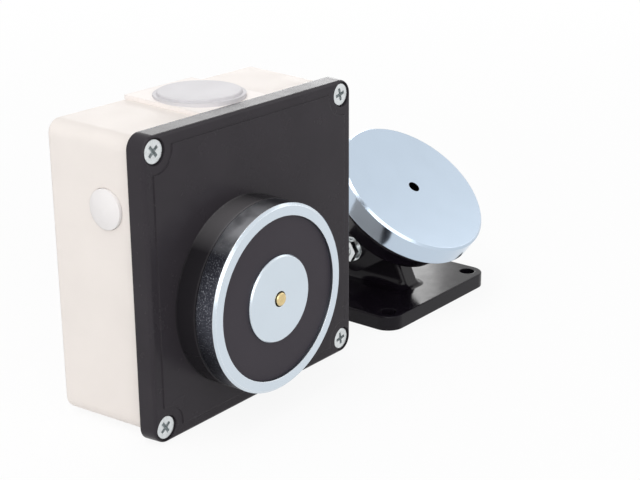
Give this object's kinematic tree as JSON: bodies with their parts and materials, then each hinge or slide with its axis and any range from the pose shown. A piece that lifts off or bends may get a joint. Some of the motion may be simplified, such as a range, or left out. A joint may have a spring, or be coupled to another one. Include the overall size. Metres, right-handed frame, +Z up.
{
  "type": "electromagnetic door holder",
  "caption": "Electromagnetic door holder: a square wall box with a round magnet in its cover, and a steel keeper disc that tilts on a pivoted base for the door.",
  "frame": {"origin": "centre of the box's wall face", "axes": "+Z up, -Y out of the wall to the front, +X right"},
  "size_m": [0.1684, 0.0711, 0.0922],
  "materials": {
    "box_plastic": "moulded, satin",
    "entry_plastic": "moulded, matte",
    "button_plastic": "moulded, satin",
    "cover_plastic": "moulded, glossy black",
    "cup_steel": "turned, zinc plated",
    "pole_steel": "turned, zinc plated",
    "disc_steel": "turned, zinc plated",
    "zinc_hardware": "zinc plated",
    "spring_steel": "drawn wire",
    "pin_brass": "turned, polished",
    "potting_resin": "cast resin, satin black",
    "bobbin_plastic": "moulded, natural",
    "copper_wire": "enamelled copper winding",
    "board_laminate": "laminate, green",
    "terminal_plastic": "moulded, green",
    "component_black": "moulded, black",
    "lead_sleeve": "insulated wire, red",
    "keeper_paint": "cast, glossy black"
  },
  "bodies": {
    "fixed": {"back_box": "box_plastic", "cable_entry_insert": "entry_plastic", "front_cover": "cover_plastic", "cover_screws": "zinc_hardware", "magnet_cup": "cup_steel", "pole_core": "pole_steel", "coil_bobbin": "bobbin_plastic", "coil_winding": "copper_wire", "potting_ring": "potting_resin", "pin_spring": "spring_steel", "spring_plug": "zinc_hardware", "magnet_screws": "zinc_hardware", "magnet_washers": "zinc_hardware", "circuit_board": "board_laminate", "board_screws": "zinc_hardware", "terminal_block": "terminal_plastic", "terminal_screws": "zinc_hardware", "suppressor_diode": "component_black", "coil_leads": "lead_sleeve", "button_spring": "spring_steel", "switch_body": "component_black", "switch_screws": "zinc_hardware", "switch_leads": "lead_sleeve", "keeper_base": "keeper_paint"},
    "pin": {"release_pin": "pin_brass"},
    "button": {"button_cap": "button_plastic"},
    "armature": {"keeper_holder": "keeper_paint", "armature_disc": "disc_steel", "armature_screw": "zinc_hardware", "pivot_bolt": "zinc_hardware", "pivot_washers": "zinc_hardware", "pivot_spring_washer": "zinc_hardware", "pivot_nut": "zinc_hardware"}
  },
  "joints": [
    {"name": "pin_push", "type": "slide", "parent": "fixed", "child": "pin", "axis": [0, 1, 0], "range_m": [0, 0.0006], "stiffness_N_per_m": 300, "springref_m": -0.002, "deforming": ["pin_spring"]},
    {"name": "button_push", "type": "slide", "parent": "fixed", "child": "button", "axis": [1, 0, 0], "range_m": [0, 0.0012], "stiffness_N_per_m": 400, "springref_m": -0.0015, "deforming": ["button_spring"]},
    {"name": "keeper_tilt", "type": "hinge", "parent": "fixed", "child": "armature", "pos_m": [0.0929, -0.0125, -0.0263], "axis": [1, 0, 0], "range_deg": [-91, 16.5]}
  ]
}
